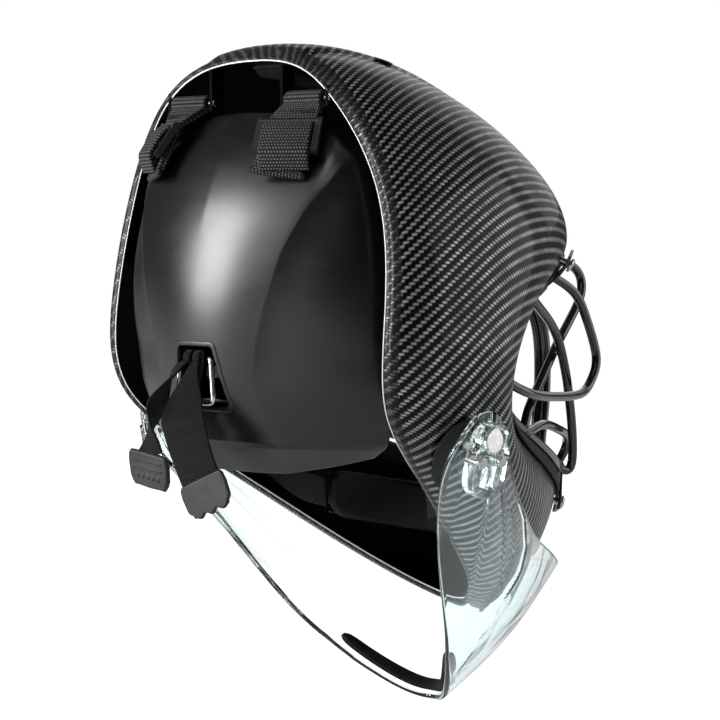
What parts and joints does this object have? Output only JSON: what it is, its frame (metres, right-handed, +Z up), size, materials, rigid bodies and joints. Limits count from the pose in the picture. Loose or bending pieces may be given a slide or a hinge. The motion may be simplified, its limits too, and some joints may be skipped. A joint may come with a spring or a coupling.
{
  "type": "goalie mask",
  "caption": "Full-head goalkeeper mask: moulded carbon shell, steel wire face cage, strap-hung back plate with pull tabs and a clear pivoting throat guard.",
  "frame": {"origin": "centre of the wearer's head, midway between the ears", "axes": "-Y out of the face, +Z up to the crown, +X to the wearer's left"},
  "size_m": [0.251, 0.2935, 0.3441],
  "materials": {
    "carbon": "glossy clear-coated carbon twill",
    "plate_plastic": "satin moulded",
    "black_plastic": "matte moulded",
    "black_steel": "gloss black coated",
    "bright_steel": "bright",
    "rubber": "matte",
    "tab_rubber": "matte",
    "foam": "fabric-faced foam",
    "leather": "soft",
    "webbing": "woven",
    "clear_plastic": "clear polycarbonate"
  },
  "bodies": {
    "helmet": {"shell": "carbon", "port_trim": "rubber", "vent_grommets": "black_plastic", "cage_frame": "black_steel", "eye_bar_left": "black_steel", "eye_bar_right": "black_steel", "diagonal_bar_left": "black_steel", "diagonal_bar_right": "black_steel", "outer_bar_left": "black_steel", "outer_bar_right": "black_steel", "nose_bars": "black_steel", "chin_bars": "black_steel", "temple_cushion_left": "foam", "temple_cushion_right": "foam", "cage_clips": "black_steel", "clip_screws": "bright_steel", "clip_nuts": "bright_steel", "forehead_pad": "foam", "crown_pad": "foam", "side_pad_left": "foam", "side_pad_right": "foam", "jaw_pad_left": "foam", "jaw_pad_right": "foam", "chin_cup": "leather", "chin_strap_left": "leather", "chin_strap_right": "leather", "chin_strap_snaps": "bright_steel", "jaw_strip_left": "rubber", "jaw_strip_right": "rubber", "guard_studs": "bright_steel", "hinge_brackets": "black_plastic", "hinge_bars": "bright_steel"},
    "back_plate": {"back_plate": "plate_plastic", "back_pad": "foam", "strap_pocket": "black_plastic", "pocket_rivets": "black_steel", "top_strap_loops": "webbing", "top_strap_left": "webbing", "top_strap_right": "webbing", "ladder_lock_left": "black_plastic", "ladder_lock_right": "black_plastic"},
    "ring": {"strap_ring": "bright_steel"},
    "tail_left": {"tail_left": "webbing", "tail_left_loop": "webbing", "tail_left_tab": "tab_rubber"},
    "tail_right": {"tail_right": "webbing", "tail_right_loop": "webbing", "tail_right_tab": "tab_rubber"},
    "guard": {"throat_guard": "clear_plastic", "guard_clip_left": "clear_plastic", "guard_clip_right": "clear_plastic", "guard_foam": "foam", "guard_rivets": "bright_steel"}
  },
  "joints": [
    {"name": "back_plate_swing", "type": "hinge", "parent": "helmet", "child": "back_plate", "pos_m": [0, 0.057, 0.1275], "axis": [1, 0, 0], "range_deg": [0, 42]},
    {"name": "ring_swing", "type": "hinge", "parent": "back_plate", "child": "ring", "pos_m": [0, 0.0925, 0.0024], "axis": [1, 0, 0], "range_deg": [0, 60]},
    {"name": "left_tail_swing", "type": "hinge", "parent": "ring", "child": "tail_left", "pos_m": [0, 0.0925, 0.0024], "axis": [1, 0, 0], "range_deg": [0, 45]},
    {"name": "right_tail_swing", "type": "hinge", "parent": "ring", "child": "tail_right", "pos_m": [0, 0.0925, 0.0024], "axis": [1, 0, 0], "range_deg": [0, 45]},
    {"name": "throat_guard_pivot", "type": "hinge", "parent": "helmet", "child": "guard", "pos_m": [0, 0.012, -0.036], "axis": [1, 0, 0], "range_deg": [-4, 24]}
  ]
}
